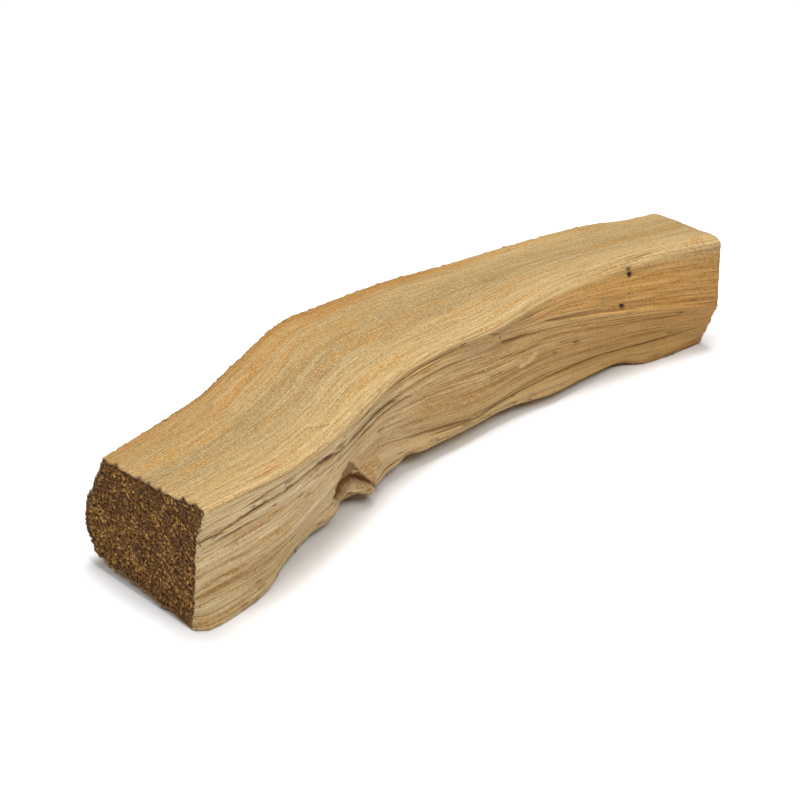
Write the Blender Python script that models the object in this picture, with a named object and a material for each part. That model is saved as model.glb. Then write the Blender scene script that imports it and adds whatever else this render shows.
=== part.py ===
"""Palo santo stick: one split and sawn length of heartwood, lying on its underside.

The stick is a single solid. Nine long edges run from the near sawn end (-X) to the far one (+X).
Each cross-section is the polygon through those edges with its corners rounded, and the sections
are lofted. Fibre ridges, a torn knot hollow and a few chips are then raised from the split sides,
or pressed into them, by formula.
"""

import math

import bmesh
import bpy
from mathutils import Vector, noise

MM = 0.001

# Driving dimensions, in millimetres.
LENGTH = 100.0
NEAR_END_X = -LENGTH / 2
FAR_END_X = LENGTH / 2
NEAR_EDGE_ROUND = 0.25
FAR_EDGE_ROUND = 0.8

# The long edges, each a smooth line through (x, y, z) points in millimetres: -Y is the front,
# +Y the back, and Z = 0 the surface under the stick.
LONG_EDGES = {
    "top_back": [
        (-50, 3.9, 17.9), (-32, 7.2, 17.9), (-23, 10.1, 18.4), (-13.5, 12.7, 19.2), (-7, 12.9, 19.0),
        (4, 11.5, 19.2), (17.5, 9.0, 18.8), (31.5, 6.9, 18.2), (40, 5.5, 17.5), (45, 3.0, 17.4),
        (50, 0.5, 18.0),
    ],
    "top_middle": [
        (-50, -5.5, 18.2), (-36, -4.0, 18.0), (-24, 0.0, 17.5), (-14, 3.5, 18.8), (5, 3.5, 18.6),
        (25, 2.0, 18.1), (50, -6.0, 18.2),
    ],
    "top_front": [
        (-50, -16.1, 19.5), (-44, -15.2, 18.6), (-33, -13.8, 17.3), (-24.5, -11.6, 16.8), (-17, -9.0, 16.5),
        (-8, -5.5, 16.3), (0, -4.7, 16.4), (10.5, -5.4, 16.7), (24, -4.5, 17.3), (40, -6.9, 17.6),
        (50, -12.3, 18.4),
    ],
    "front_groove": [
        (-50, -13.9, 14.3), (-40, -13.4, 14.1), (-32, -12.0, 13.8), (-23, -9.4, 14.0), (-13, -6.4, 14.8),
        (0, -4.9, 15.0), (10.5, -5.2, 13.9), (21.5, -6.3, 13.4), (36, -9.1, 10.5), (50, -12.7, 7.6),
    ],
    "front_ledge": [
        (-50, -13.0, 5.0), (-36, -11.6, 4.5), (-24, -8.6, 6.0), (-13, -5.8, 7.5), (-6, -4.8, 6.0),
        (6.5, -4.9, 3.8), (20, -5.6, 4.9), (37, -7.9, 4.2), (50, -11.2, 3.2),
    ],
    "front_foot": [
        (-50, -12.2, 0.0), (-48.5, -13.6, 0.0), (-43, -13.6, 0.0), (-37.5, -12.5, 0.1), (-33.5, -10.2, 0.3),
        (-27.7, -8.0, 0.8), (-22.3, -7.7, 1.3), (-19.8, -6.1, 1.6), (-17.5, -6.3, 1.9), (-14.8, -7.4, 1.6),
        (-10.5, -5.3, 1.6), (-6.5, -5.4, 2.1), (5, -5.7, 2.4), (14, -5.2, 2.0), (21, -6.5, 1.6),
        (30, -6.3, 1.1), (35.5, -6.5, 0.8), (38.5, -8.0, 0.2), (43, -9.0, 0.0), (50, -9.8, 0.0),
    ],
    "keel": [
        (-50, -2.0, 0.2), (-44, -2.0, 0.0), (-38, -1.5, 0.0), (-20, 3.0, 1.2), (0, 5.0, 1.5),
        (20, 3.0, 1.2), (38, -2.0, 0.0), (50, -4.0, 0.0),
    ],
    "back_foot": [
        (-50, 7.1, 0.9), (-30, 8.6, 0.8), (-10, 12.4, -0.1), (8, 11.6, -0.1), (30, 7.4, 0.6),
        (50, 1.6, 0.8),
    ],
    "back_bulge": [
        (-50, 9.2, 7.4), (-35, 10.2, 8.0), (-20, 13.4, 9.0), (-8, 15.6, 9.4), (8, 14.4, 9.2),
        (25, 11.2, 9.0), (40, 8.2, 9.0), (50, 3.4, 9.0),
    ],
}

# How far each corner is rounded off along its sides, in millimetres.
CORNER_ROUND = {
    "top_back": 0.8,
    "top_middle": 4.0,
    "top_front": 1.4,
    "front_groove": 0.7,
    "front_ledge": 0.7,
    "front_foot": 0.7,
    "keel": 4.0,
    "back_foot": 1.4,
    "back_bulge": 3.2,
}

# Height of the fibre ridges at each long edge, in millimetres.
RIDGE_HEIGHT = {
    "top_back": 0.28,
    "top_middle": 0.16,
    "top_front": 0.22,
    "front_groove": 0.5,
    "front_ledge": 0.55,
    "front_foot": 0.5,
    "keel": 0.45,
    "back_foot": 0.7,
    "back_bulge": 0.75,
}

# Facets across each side, named by the edge where the side starts.
SIDE_FACETS = {
    "top_back": 7,
    "top_middle": 8,
    "top_front": 6,
    "front_groove": 16,
    "front_ledge": 6,
    "front_foot": 5,
    "keel": 5,
    "back_foot": 8,
    "back_bulge": 9,
}
CORNER_FACETS = 2

# The share of one long edge's place that its rounded corner takes, and the most of a side that a
# rounded corner may take.
CORNER_SHARE = 0.08
MOST_OF_SIDE = 0.45

# Spacing of the cross-sections along the stick, in millimetres: closer by the knot.
STATION_STEP = 2.15
KNOT_STATION_STEP = 0.85
KNOT_X = -16.5
KNOT_REACH = 8.0
END_CLEARANCE = 0.6

# Fibre ridges: their length along the grain and their width across it, in millimetres.
RIDGE_LENGTH = 26.0
RIDGE_WIDTH = 2.3
FINE_RIDGE_LENGTH = 11.0
FINE_RIDGE_WIDTH = 1.1
FINE_RIDGE_SHARE = 0.45
FINE_RIDGE_SHIFT = 40.0

# Dents (depth above zero) and raised flaps (below zero) on the front side: where they lie along X
# and Z, their half lengths along X and Z, and their depth, all in millimetres.
FRONT_MARKS = [
    {"x": -17.4, "z": 6.9, "half_x": 2.5, "half_z": 1.7, "depth": 2.4},
    {"x": -19.8, "z": 5.2, "half_x": 2.0, "half_z": 1.0, "depth": 0.8},
    {"x": -16.8, "z": 3.9, "half_x": 3.0, "half_z": 1.1, "depth": -1.1},
    {"x": -13.6, "z": 4.8, "half_x": 1.1, "half_z": 2.0, "depth": -1.1},
    {"x": 10.9, "z": 14.2, "half_x": 2.4, "half_z": 0.8, "depth": 0.8},
    {"x": 16.4, "z": 9.4, "half_x": 1.6, "half_z": 0.6, "depth": -0.3},
    {"x": -6.0, "z": 2.4, "half_x": 1.6, "half_z": 1.2, "depth": 0.7},
]

# The flat pads under both ends start this far from the middle.
PAD_START_X = 37.0
PAD_FADE = 3.0

WOOD_COLOUR = (0.56, 0.38, 0.19, 1.0)
WOOD_ROUGHNESS = 0.7


def line_at(points, x):
    """(y, z) at x of a smooth line through the points: cubics with slopes taken from the neighbours."""
    last = len(points) - 1
    i = 0
    while i < last - 1 and x > points[i + 1][0]:
        i += 1
    start, end = points[i], points[i + 1]
    before, after = points[max(i - 1, 0)], points[min(i + 2, last)]
    width = end[0] - start[0]
    t = (x - start[0]) / width
    found = []
    for axis in (1, 2):
        slope_in = (end[axis] - before[axis]) / (end[0] - before[0])
        slope_out = (after[axis] - start[axis]) / (after[0] - start[0])
        found.append(
            (2 * t**3 - 3 * t**2 + 1) * start[axis]
            + (t**3 - 2 * t**2 + t) * width * slope_in
            + (3 * t**2 - 2 * t**3) * end[axis]
            + (t**3 - t**2) * width * slope_out
        )
    return Vector(found)


def stations():
    """The x of every cross-section, from the near end to the far one."""
    steps = []
    x = NEAR_END_X
    while x < FAR_END_X:
        nearness = math.exp(-(((x - KNOT_X) / KNOT_REACH) ** 2))
        steps.append(STATION_STEP + (KNOT_STATION_STEP - STATION_STEP) * nearness)
        x += steps[-1]
    stretch = LENGTH / sum(steps)
    found = [NEAR_END_X]
    for step in steps:
        found.append(found[-1] + step * stretch)
    return found


def section(x):
    """The cross-section at x, as (point, place) pairs, where place counts the long edges passed so far."""
    names = list(LONG_EDGES)
    corners = [line_at(LONG_EDGES[name], x) for name in names]
    count = len(names)
    rounded = []
    for i, name in enumerate(names):
        corner = corners[i]
        to_last = corners[i - 1] - corner
        to_next = corners[(i + 1) % count] - corner
        reach = min(CORNER_ROUND[name], MOST_OF_SIDE * to_last.length, MOST_OF_SIDE * to_next.length)
        enter = corner + to_last.normalized() * reach
        leave = corner + to_next.normalized() * reach
        rounded.append((enter, corner, leave))
    found = []
    for i, name in enumerate(names):
        enter, corner, leave = rounded[i]
        for k in range(CORNER_FACETS):
            t = k / CORNER_FACETS
            point = enter * (1 - t) ** 2 + corner * 2 * t * (1 - t) + leave * t**2
            found.append((point, i + CORNER_SHARE * (t - 0.5)))
        next_enter = rounded[(i + 1) % count][0]
        for k in range(SIDE_FACETS[name]):
            t = k / SIDE_FACETS[name]
            found.append((leave.lerp(next_enter, t), i + CORNER_SHARE / 2 + (1 - CORNER_SHARE) * t))
    return found


def ridge_height(place):
    """The height of the fibre ridges at a place round the section, in millimetres."""
    heights = list(RIDGE_HEIGHT.values())
    i = math.floor(place)
    t = place - i
    return heights[i % len(heights)] * (1 - t) + heights[(i + 1) % len(heights)] * t


def fibre_ridges(x, turn, perimeter, height):
    """How far the surface stands out at x and at this part of a turn: ridges that run along the grain."""
    radius = perimeter / (2 * math.pi)
    across = Vector((0, math.cos(2 * math.pi * turn), math.sin(2 * math.pi * turn))) * radius
    coarse = noise.noise(across / RIDGE_WIDTH + Vector((x / RIDGE_LENGTH, 0, 0)))
    fine = noise.noise(across / FINE_RIDGE_WIDTH + Vector((x / FINE_RIDGE_LENGTH + FINE_RIDGE_SHIFT, 0, 0)))
    return height * (coarse + FINE_RIDGE_SHARE * fine)


def front_marks(x, z):
    """How far the front side is pressed in by its dents, less what its flaps stand out."""
    depth = 0.0
    for mark in FRONT_MARKS:
        reach = ((x - mark["x"]) / mark["half_x"]) ** 2 + ((z - mark["z"]) / mark["half_z"]) ** 2
        depth += mark["depth"] * math.exp(-reach)
    return depth


def pad_weight(x, place):
    """0 on the flat pads under both ends, 1 elsewhere."""
    names = list(LONG_EDGES)
    foot, keel = names.index("front_foot"), names.index("keel")
    if not foot < place < keel + 0.5:
        return 1.0
    return min(max((PAD_START_X + PAD_FADE - abs(x)) / PAD_FADE, 0.0), 1.0)


def ring(x, inset=0.0):
    """The finished ring of points at x, moved in by inset."""
    base = section(x)
    points = [point for point, _ in base]
    count = len(points)
    perimeter = sum((points[j] - points[j - 1]).length for j in range(count))
    names = list(LONG_EDGES)
    front = range(names.index("top_front"), names.index("front_foot") + 1)
    found = []
    for j, (point, place) in enumerate(base):
        along = (points[(j + 1) % count] - points[j - 1]).normalized()
        outward = Vector((along.y, -along.x))
        offset = fibre_ridges(x, j / count, perimeter, ridge_height(place)) * pad_weight(x, place)
        if math.floor(place) in front:
            offset -= front_marks(x, point.y)
        moved = point + outward * (offset - inset)
        found.append(Vector((x, moved.x, max(moved.y, 0.0))))
    return found


def stick_rings():
    """Every ring from the near end to the far one, with the sawn edges rounded."""
    near_x, far_x = NEAR_END_X + NEAR_EDGE_ROUND, FAR_END_X - FAR_EDGE_ROUND
    inner = [x for x in stations() if near_x + END_CLEARANCE < x < far_x - END_CLEARANCE]
    rings = [ring(NEAR_END_X, NEAR_EDGE_ROUND)]
    rings += [ring(x) for x in [near_x] + inner + [far_x]]
    middle = FAR_EDGE_ROUND * (1 - math.sqrt(0.5))
    rings += [ring(FAR_END_X - middle, middle), ring(FAR_END_X, FAR_EDGE_ROUND)]
    return rings


def stick_mesh():
    """The lofted stick, with its origin under the middle of its box."""
    bm = bmesh.new()
    rings = [[bm.verts.new(point * MM) for point in points] for points in stick_rings()]
    for low, high in zip(rings, rings[1:]):
        for j in range(len(low)):
            k = (j + 1) % len(low)
            bm.faces.new((low[j], low[k], high[k], high[j]))
    bm.faces.new(reversed(rings[0]))
    bm.faces.new(rings[-1])
    ys = [vert.co.y for vert in bm.verts]
    bmesh.ops.translate(bm, verts=bm.verts, vec=(0, -(min(ys) + max(ys)) / 2, 0))
    mesh = bpy.data.meshes.new("stick")
    bm.to_mesh(mesh)
    bm.free()
    mesh.shade_smooth()
    mesh.set_sharp_from_angle(angle=math.radians(50))
    return mesh


def wood_material():
    material = bpy.data.materials.new("palo_santo_heartwood")
    material.use_nodes = True
    shader = material.node_tree.nodes["Principled BSDF"]
    shader.inputs["Base Color"].default_value = WOOD_COLOUR
    shader.inputs["Roughness"].default_value = WOOD_ROUGHNESS
    shader.inputs["Metallic"].default_value = 0.0
    return material


def clear_scene():
    for obj in list(bpy.data.objects):
        bpy.data.objects.remove(obj)


def main():
    clear_scene()
    collection = bpy.data.collections.new("palo_santo_stick")
    bpy.context.scene.collection.children.link(collection)
    stick = bpy.data.objects.new("stick", stick_mesh())
    stick.data.materials.append(wood_material())
    collection.objects.link(stick)


main()
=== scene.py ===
import math
import random

import bmesh
import bpy
from mathutils import Matrix, Vector, noise


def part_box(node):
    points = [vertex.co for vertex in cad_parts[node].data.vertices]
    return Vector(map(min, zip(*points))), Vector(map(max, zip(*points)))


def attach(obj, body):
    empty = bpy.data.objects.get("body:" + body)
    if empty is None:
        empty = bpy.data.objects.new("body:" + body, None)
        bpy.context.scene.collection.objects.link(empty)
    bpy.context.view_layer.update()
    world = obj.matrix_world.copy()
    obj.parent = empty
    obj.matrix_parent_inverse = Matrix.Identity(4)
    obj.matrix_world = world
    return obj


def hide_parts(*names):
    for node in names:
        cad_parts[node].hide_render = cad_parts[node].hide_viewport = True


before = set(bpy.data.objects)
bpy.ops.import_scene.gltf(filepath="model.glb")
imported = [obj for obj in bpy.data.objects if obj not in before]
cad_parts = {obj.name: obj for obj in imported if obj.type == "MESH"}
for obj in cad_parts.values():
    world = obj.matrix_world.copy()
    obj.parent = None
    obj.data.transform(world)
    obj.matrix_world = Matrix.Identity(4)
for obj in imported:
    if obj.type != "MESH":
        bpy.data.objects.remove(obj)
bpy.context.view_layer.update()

mm = 0.001
stickLow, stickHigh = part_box("stick")
halfLength = round(stickHigh[0] / mm, 3)


def toLinear(hexColour):
    channels = [int(hexColour[i:i + 2], 16) / 255 for i in (1, 3, 5)]
    linear = [c / 12.92 if c <= 0.04045 else ((c + 0.055) / 1.055) ** 2.4 for c in channels]
    return (*linear, 1.0)


def smoothStep(low, high, value):
    t = min(max((value - low) / (high - low), 0.0), 1.0)
    return t * t * (3 - 2 * t)


# The photograph's camera: 105 mm on a 36 mm sensor, from the left of the near end.
cameraSet = {
    "lens": 105.0,
    "sensor": 36.0,
    "azimuth": -44.25,
    "elevation": 31.0,
    "distance": 316.1 * mm,
    "target": (-3.03 * mm, 0.09 * mm, 8.08 * mm),
}


def addCamera():
    data = bpy.data.cameras.new("camera")
    data.lens = cameraSet["lens"]
    data.sensor_width = cameraSet["sensor"]
    data.clip_start = 0.01
    cam = bpy.data.objects.new("camera", data)
    scene = bpy.context.scene
    scene.collection.objects.link(cam)
    a, e = math.radians(cameraSet["azimuth"]), math.radians(cameraSet["elevation"])
    back = Vector((math.sin(a) * math.cos(e), -math.cos(a) * math.cos(e), math.sin(e)))
    cam.location = Vector(cameraSet["target"]) + back * cameraSet["distance"]
    cam.rotation_euler = (-back).to_track_quat("-Z", "Y").to_euler()
    scene.camera = cam


# The long edges of the split stick as (x, y, z) in mm: y runs to the back, and z = 0 is the table.
longEdges = {
    "topBack": [
        (-50, 3.9, 17.9), (-32, 7.2, 17.9), (-23, 10.1, 18.4), (-13.5, 12.7, 19.2), (-7, 12.9, 19.0),
        (4, 11.5, 19.2), (17.5, 9.0, 18.8), (31.5, 6.9, 18.2), (40, 5.5, 17.5), (45, 3.0, 17.4),
        (50, 0.5, 18.0),
    ],
    "topMiddle": [
        (-50, -5.5, 18.2), (-36, -4.0, 18.0), (-24, 0.0, 17.5), (-14, 3.5, 18.8), (5, 3.5, 18.6),
        (25, 2.0, 18.1), (50, -6.0, 18.2),
    ],
    "topFront": [
        (-50, -16.1, 19.5), (-44, -15.2, 18.6), (-33, -13.8, 17.3), (-24.5, -11.6, 16.8), (-17, -9.0, 16.5),
        (-8, -5.5, 16.3), (0, -4.7, 16.4), (10.5, -5.4, 16.7), (24, -4.5, 17.3), (40, -6.9, 17.6),
        (50, -12.3, 18.4),
    ],
    "frontGroove": [
        (-50, -13.9, 14.3), (-40, -13.4, 14.1), (-32, -12.0, 13.8), (-23, -9.4, 14.0), (-13, -6.4, 14.8),
        (0, -4.9, 15.0), (10.5, -5.2, 13.9), (21.5, -6.3, 13.4), (36, -9.1, 10.5), (50, -12.7, 7.6),
    ],
    "frontLedge": [
        (-50, -13.0, 5.0), (-36, -11.6, 4.5), (-24, -8.6, 6.0), (-13, -5.8, 7.5), (-6, -4.8, 6.0),
        (6.5, -4.9, 3.8), (20, -5.6, 4.9), (37, -7.9, 4.2), (50, -11.2, 3.2),
    ],
    "frontFoot": [
        (-50, -12.2, 0.0), (-48.5, -13.6, 0.0), (-43, -13.6, 0.0), (-37.5, -12.5, 0.1), (-33.5, -10.2, 0.3),
        (-27.7, -8.0, 0.8), (-22.3, -7.7, 1.3), (-19.8, -6.1, 1.6), (-17.5, -6.3, 1.9), (-14.8, -7.4, 1.6),
        (-10.5, -5.3, 1.6), (-6.5, -5.4, 2.1), (5, -5.7, 2.4), (14, -5.2, 2.0), (21, -6.5, 1.6),
        (30, -6.3, 1.1), (35.5, -6.5, 0.8), (38.5, -8.0, 0.2), (43, -9.0, 0.0), (50, -9.8, 0.0),
    ],
    "keel": [
        (-50, -2.0, 0.2), (-44, -2.0, 0.0), (-38, -1.5, 0.0), (-20, 3.0, 1.2), (0, 5.0, 1.5),
        (20, 3.0, 1.2), (38, -2.0, 0.0), (50, -4.0, 0.0),
    ],
    "backFoot": [
        (-50, 7.1, 0.9), (-30, 8.6, 0.8), (-10, 12.4, -0.1), (8, 11.6, -0.1), (30, 7.4, 0.6),
        (50, 1.6, 0.8),
    ],
    "backBulge": [
        (-50, 9.2, 7.4), (-35, 10.2, 8.0), (-20, 13.4, 9.0), (-8, 15.6, 9.4), (8, 14.4, 9.2),
        (25, 11.2, 9.0), (40, 8.2, 9.0), (50, 3.4, 9.0),
    ],
}

# Per long edge: how far its corner is rounded off (mm), how many columns of faces lie between it and
# the next edge, how far the coarse ridges and the fine fibres stand out there (mm), how rough the
# split is (0 to 1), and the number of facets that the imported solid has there.
edgeSet = {
    "topBack": {"round": 0.8, "columns": 47, "coarse": 0.24, "fine": 0.05, "rough": 0.4, "facets": 7},
    "topMiddle": {"round": 4.0, "columns": 47, "coarse": 0.14, "fine": 0.035, "rough": 0.12, "facets": 8},
    "topFront": {"round": 1.4, "columns": 26, "coarse": 0.2, "fine": 0.09, "rough": 0.45, "facets": 6},
    "frontGroove": {"round": 0.7, "columns": 40, "coarse": 0.2, "fine": 0.24, "rough": 0.9, "facets": 16},
    "frontLedge": {"round": 0.7, "columns": 28, "coarse": 0.25, "fine": 0.16, "rough": 0.5, "facets": 6},
    "frontFoot": {"round": 0.7, "columns": 50, "coarse": 0.35, "fine": 0.14, "rough": 0.8, "facets": 5},
    "keel": {"round": 4.0, "columns": 44, "coarse": 0.4, "fine": 0.1, "rough": 0.9, "facets": 5},
    "backFoot": {"round": 1.4, "columns": 44, "coarse": 0.55, "fine": 0.12, "rough": 1.0, "facets": 8},
    "backBulge": {"round": 3.2, "columns": 50, "coarse": 0.55, "fine": 0.12, "rough": 1.0, "facets": 9},
}
cornerFacets = 2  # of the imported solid, at each long edge
cornerShare = 0.08  # of the way to the next edge, taken up by a corner

stickSet = {
    "cellsAcross": 94,  # of each side, and each way over a sawn end
    "cellsAlong": 212,
    "shiftY": 0.194,  # mm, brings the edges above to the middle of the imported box
    "girth": 86.0,  # mm, the way round on which the fibres are laid out
    "closeSpots": [(-17.8, 5.5, 0.42), (34.6, 2.2, 0.55)],  # x, reach, and share of the usual spacing
    "stretch": 1.07,  # makes up for the close spacing, so that the other stations keep their places
    "rimStations": (0.0, 0.08, 0.22, 0.45, 0.8),  # mm from an end
    "nearRound": 0.25,
    "farRound": 0.8,
    "cavityReach": 3,  # ring points each way that a groove is measured against
    "cavityDepth": 0.09,  # mm, the depth of a groove that is painted fully dark as shade
    "padStart": 37.0,  # how far from the middle the pads under the ends start to get flat
    "padFade": 3.0,  # how much farther out they are flat
    "endDepth": 0.4,  # mm, up to which a face across the stick counts as part of its sawn end
}


def edgeAt(points, x):  # (y, z) at x of a smooth line through the points
    last = len(points) - 1
    i = 0
    while i < last - 1 and x > points[i + 1][0]:
        i += 1
    start, end = points[i], points[i + 1]
    before, after = points[max(i - 1, 0)], points[min(i + 2, last)]
    width = end[0] - start[0]
    t = (x - start[0]) / width
    found = []
    for axis in (1, 2):
        slopeIn = (end[axis] - before[axis]) / (end[0] - before[0])
        slopeOut = (after[axis] - start[axis]) / (after[0] - start[0])
        found.append(
            (2 * t**3 - 3 * t**2 + 1) * start[axis]
            + (t**3 - 2 * t**2 + t) * width * slopeIn
            + (3 * t**2 - 2 * t**3) * end[axis]
            + (t**3 - t**2) * width * slopeOut
        )
    return Vector(found)


def stationList():  # x of every ring: a few close ones at both rims, and closer ones at the knot
    rim = stickSet["rimStations"]
    count = stickSet["cellsAlong"] - 2 * (len(rim) - 1)
    first, last = rim[-1] - halfLength, halfLength - rim[-1]
    steps = []
    x = first
    for i in range(count):
        steps.append(1.0)
        for middle, reach, share in stickSet["closeSpots"]:
            steps[-1] *= 1 - (1 - share) * math.exp(-(((x - middle) / reach) ** 2))
        x += steps[-1] * (last - first) / (count - 1) * stickSet["stretch"]
    found = [depth - halfLength for depth in rim]
    for step in steps:
        found.append(found[-1] + step * (last - first) / sum(steps))
    return found[:-1] + [halfLength - depth for depth in reversed(rim)]


def sectionRing(x):  # evenly spaced points round the rounded section at x, edge by edge
    names = list(longEdges)
    corners = [edgeAt(longEdges[name], x) for name in names]
    count = len(names)
    turns = []
    for i, name in enumerate(names):
        toLast, toNext = corners[i - 1] - corners[i], corners[(i + 1) % count] - corners[i]
        reach = min(edgeSet[name]["round"], 0.45 * toLast.length, 0.45 * toNext.length)
        enter = corners[i] + toLast.normalized() * reach
        leave = corners[i] + toNext.normalized() * reach
        bend = []
        for k in range(9):
            t = k / 8
            bend.append(enter * (1 - t) ** 2 + corners[i] * 2 * t * (1 - t) + leave * t**2)
        turns.append(bend)
    ring = []
    for i, name in enumerate(names):
        path = turns[i][4:] + turns[(i + 1) % count][:5]
        lengths = [0.0]
        for a, b in zip(path, path[1:]):
            lengths.append(lengths[-1] + (b - a).length)
        columns = edgeSet[name]["columns"]
        k = 0
        for column in range(columns):
            wanted = lengths[-1] * column / columns
            while k < len(path) - 2 and lengths[k + 1] < wanted:
                k += 1
            t = (wanted - lengths[k]) / max(lengths[k + 1] - lengths[k], 1e-9)
            ring.append(path[k].lerp(path[k + 1], t))
    return ring


def ringPlaces():  # for each ring point, the long edges passed so far
    places = []
    for i, name in enumerate(longEdges):
        columns = edgeSet[name]["columns"]
        places += [i + column / columns for column in range(columns)]
    return places


def edgeValue(key, place):
    values = [edgeSet[name][key] for name in longEdges]
    i = math.floor(place)
    t = place - i
    return values[i % len(values)] * (1 - t) + values[(i + 1) % len(values)] * t


def solidTurn(place):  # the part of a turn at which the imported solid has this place
    names = list(longEdges)
    i = math.floor(place)
    t = place - i
    half = cornerShare / 2
    start = sum(edgeSet[name]["facets"] + cornerFacets for name in names[:i])
    facets = edgeSet[names[i]]["facets"]
    if t < half:
        index = start + 1 + t / half
    elif t < 1 - half:
        index = start + cornerFacets + (t - half) / (1 - cornerShare) * facets
    else:
        index = start + cornerFacets + facets + (t - 1 + half) / half
    return index / sum(edgeSet[name]["facets"] + cornerFacets for name in names)


def fromTopBack(place):  # how many long edges away from the top's back rim, either way
    return min(place, len(longEdges) - place)


def onSide(side, place):
    if side == "top":
        return place > 8.6 or place < 2.2
    return 2.0 < place < 6.2


# Fibre ridges: how long they are along the grain and how wide across it, in mm.
ridgeSet = {
    "coarse": (26.0, 2.3),
    "coarseFine": (11.0, 1.1),
    "coarseFineShare": 0.45,
    "coarseFineShift": 40.0,
    "fine": (18.0, 0.6),
    "hair": (9.0, 0.36),
    "hairShare": 0.6,
    "terrace": (60.0, 1.9),
    "terraceCount": 2.4,
    "terraceStep": 0.16,
    "calm": 0.7,  # how much smoother the far end gets, and between which x
    "calmFrom": (40.0, 49.0),
    "crack": (70.0, 1.6),
    "crackGap": (22.0, 3.0),
    "crackOpens": (-0.05, 0.2),
    "crackDepth": 0.38,
    "crackWidth": 0.04,
    "crackFades": 0.8,  # how much fainter the front's cracks get, and between which x
    "crackFadesFrom": (0.0, 25.0),
}

# Lines that someone would know this stick by, as (x, across) in mm, where across is y on the top and
# z on the front: splits that are cut into it and painted dark as their shade, and lines that only
# colour it: orange stains, and pale streaks that are partly pale torn wood and partly painted sheen.
splitLines = [
    {"side": "front", "width": 0.5, "strength": 1.0, "line": [
        (-51, 14.0), (-46.5, 13.4), (-44.5, 13.8), (-41.0, 14.3), (-35.5, 13.9), (-27.5, 13.4),
        (-22.3, 12.3), (-17.4, 12.4), (-13.7, 13.0), (-7.3, 13.4),
    ]},
    {"side": "front", "width": 0.4, "strength": 0.7, "line": [
        (-43.0, 15.5), (-38.0, 15.7), (-30.0, 15.4), (-22.0, 14.4), (-14.0, 14.5),
    ]},
    {"side": "front", "width": 0.4, "strength": 0.6, "line": [
        (-30.0, 12.0), (-24.0, 11.0), (-18.0, 11.3), (-12.0, 12.2), (-5.0, 12.5),
    ]},
    {"side": "top", "width": 0.4, "strength": 0.6, "line": [
        (-26.3, -7.5), (-25.5, -8.2), (-24.7, -8.4), (-23.8, -8.6),
    ]},
    # the crease under the ledge, cut in and painted dark as its shadow
    {"side": "front", "width": 0.3, "strength": 0.6, "line": [
        (-12.6, 7.3), (-7.8, 5.9), (0.0, 4.4), (7.0, 3.2), (14.4, 3.9), (21.0, 4.4), (30.4, 4.5),
        (38.0, 3.7), (48.0, 3.7),
    ]},
    {"side": "front", "width": 0.4, "strength": 0.4, "line": [
        (19.2, 14.0), (22.9, 13.2), (30.0, 12.0), (37.9, 10.6), (43.1, 9.8), (49.0, 9.0),
    ]},
    {"side": "front", "width": 0.4, "strength": 0.55, "line": [
        (9.0, 15.6), (11.4, 14.6), (12.4, 12.8), (14.0, 12.6), (17.0, 13.0),
    ]},
]
tintAndSheenLines = {
    "paleAndSheen": [
        # on the top: painted sheen
        {"side": "top", "width": 1.3, "strength": 0.5, "line": [(-23.0, 0.3), (-20.8, 0.9), (-18.5, 1.6)]},
        {"side": "top", "width": 1.2, "strength": 0.7, "line": [(-32.0, 4.6), (-27.4, 5.9), (-23.5, 6.8)]},
        {"side": "top", "width": 3.0, "strength": 0.5, "line": [(-31.0, 2.4), (-28.0, 2.8), (-24.0, 2.6)]},
        {"side": "top", "width": 3.5, "strength": 0.45, "line": [
            (-47.0, -10.5), (-38.0, -8.5), (-31.0, -6.5),
        ]},
        # on the near front: painted sheen
        {"side": "front", "width": 1.6, "strength": 0.9, "line": [
            (-33.0, 6.8), (-28.8, 7.0), (-25.0, 7.3), (-22.0, 8.6),
        ]},
        {"side": "front", "width": 1.4, "strength": 0.6, "line": [
            (-44.0, 9.5), (-38.0, 10.0), (-31.0, 9.8),
        ]},
        # pale torn wood: the ledge below the crease, and the lips by the knot
        {"side": "front", "width": 3.2, "strength": 1.0, "line": [
            (-13.0, 6.0), (-6.0, 4.4), (2.0, 2.8), (12.0, 2.8), (25.0, 2.8), (40.0, 1.8), (48.0, 1.8),
        ]},
        {"side": "front", "width": 0.5, "strength": 0.9, "line": [(-17.6, 6.0), (-16.7, 5.5)]},
        {"side": "front", "width": 0.6, "strength": 1.3, "line": [
            (-20.6, 4.4), (-18.6, 3.6), (-17.2, 3.0), (-16.0, 2.8),
        ]},
        # the chip: pale wood with a painted highlight
        {"side": "front", "width": 0.8, "strength": 1.9, "line": [(15.0, 8.0), (16.6, 8.6), (18.2, 9.5)]},
    ],
    "orange": [
        {"side": "top", "width": 1.1, "strength": 0.9, "line": [
            (-44.0, 1.9), (-38.5, 2.1), (-34.8, 2.6), (-31.2, 3.5), (-26.5, 5.5), (-22.5, 7.1),
            (-15.4, 9.2), (-8.0, 10.6), (2.0, 10.4), (10.0, 9.4), (20.0, 7.6), (31.0, 6.0), (44.0, 2.6),
        ]},
        {"side": "top", "width": 1.2, "strength": 0.8, "line": [
            (-46.6, -2.6), (-42.0, -2.2), (-37.0, -1.6), (-33.5, -0.7),
        ]},
        {"side": "top", "width": 0.9, "strength": 0.8, "line": [
            (-40.0, -12.6), (-35.0, -11.9), (-31.0, -11.0),
        ]},
        {"side": "top", "width": 1.4, "strength": 0.9, "line": [(44.5, -9.6), (46.6, -9.8), (48.0, -9.4)]},
        {"side": "front", "width": 1.1, "strength": 1.4, "line": [
            (-16.8, 7.0), (-15.2, 5.4), (-14.5, 3.9), (-14.2, 2.4),
        ]},
        {"side": "front", "width": 0.9, "strength": 0.7, "line": [
            (-30.0, 13.0), (-22.0, 11.6), (-14.0, 12.2),
        ]},
    ],
}


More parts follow.
